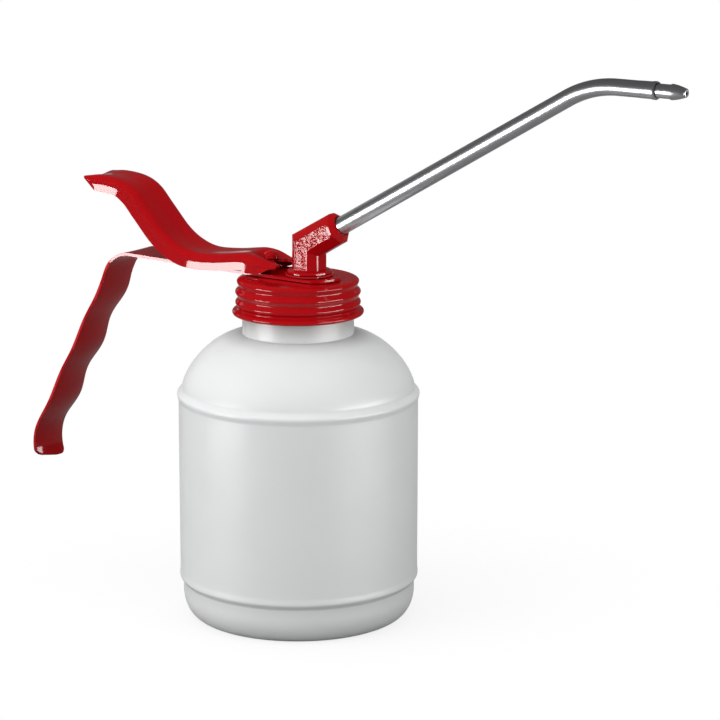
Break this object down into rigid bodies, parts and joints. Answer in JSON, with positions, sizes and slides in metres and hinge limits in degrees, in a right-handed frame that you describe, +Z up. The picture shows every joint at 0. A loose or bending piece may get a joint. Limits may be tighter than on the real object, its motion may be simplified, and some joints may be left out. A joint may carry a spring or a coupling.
{
  "type": "pump oil can",
  "caption": "Hand pump oil can: translucent plastic bottle, red screw cap with a thumb lever and hanging grip strip, angled elbow and a long bent steel spout.",
  "frame": {"origin": "middle of the bottle's base, on the surface that the can stands on", "axes": "+Z up along the bottle's axis, +X towards the spout's tip, the grip hangs at -X"},
  "size_m": [0.2769, 0.088, 0.2069],
  "materials": {
    "milky_polyethylene": "translucent natural polyethylene, soft sheen",
    "red_lacquer": "glossy red stove lacquer",
    "satin_zinc_plate": "satin zinc plated steel",
    "zinc_casting": "plain zinc casting",
    "brass": "turned brass",
    "black_rubber": "oil resistant rubber",
    "clear_hose": "clear flexible hose"
  },
  "bodies": {
    "bottle": {"bottle": "milky_polyethylene"},
    "sealing_ring": {"cap_gasket": "black_rubber"},
    "head": {"screw_cap": "red_lacquer", "handle": "red_lacquer", "clamp_washer": "red_lacquer", "spout_elbow": "red_lacquer", "spout_tube": "satin_zinc_plate", "spout_nozzle": "satin_zinc_plate", "pump_body": "zinc_casting", "body_gasket": "black_rubber", "rod_seal": "black_rubber", "gallery_plug": "brass", "return_spring": "satin_zinc_plate", "foot_valve_body": "brass", "dip_tube": "clear_hose", "strainer": "brass", "outlet_seat": "brass", "outlet_spring": "satin_zinc_plate"},
    "lever": {"lever": "red_lacquer", "fulcrum_bar": "satin_zinc_plate"},
    "plunger": {"plunger_rod": "red_lacquer", "piston": "brass", "piston_seal": "black_rubber", "piston_valve_seat": "brass"},
    "piston_ball": {"piston_ball": "satin_zinc_plate"},
    "foot_ball": {"foot_ball": "satin_zinc_plate"},
    "outlet_ball": {"outlet_ball": "satin_zinc_plate"}
  },
  "joints": [
    {"name": "cap_lift", "type": "slide", "parent": "bottle", "child": "sealing_ring", "axis": [0, 0, 1], "range_m": [0, 0.0093]},
    {"name": "cap_turn", "type": "hinge", "parent": "sealing_ring", "child": "head", "pos_m": [0, 0, 0.118], "axis": [0, 0, 1], "range_deg": [0, 900]},
    {"name": "lever_pivot", "type": "hinge", "parent": "head", "child": "lever", "pos_m": [-0.038, 0, 0.12763], "axis": [0, -1, 0], "range_deg": [0, 17]},
    {"name": "plunger_slide", "type": "slide", "parent": "head", "child": "plunger", "axis": [0, 0, 1], "range_m": [0, 0.0089], "stiffness_N_per_m": 600, "springref_m": -0.006, "deforming": ["return_spring"]},
    {"name": "piston_ball_lift", "type": "slide", "parent": "plunger", "child": "piston_ball", "axis": [0, 0, 1], "range_m": [0, 0.0006]},
    {"name": "foot_ball_lift", "type": "slide", "parent": "head", "child": "foot_ball", "axis": [0, 0, 1], "range_m": [0, 0.0006]},
    {"name": "outlet_ball_lift", "type": "slide", "parent": "head", "child": "outlet_ball", "axis": [0, 0, 1], "range_m": [0, 0.0012], "stiffness_N_per_m": 60, "springref_m": -0.002, "deforming": ["outlet_spring"]}
  ],
  "couplings": [
    {"joint": "cap_lift", "follows": "cap_turn", "m_per_rad": 0.00058887},
    {"joint": "lever_pivot", "follows": "plunger_slide", "rad_per_m": 33.333}
  ]
}
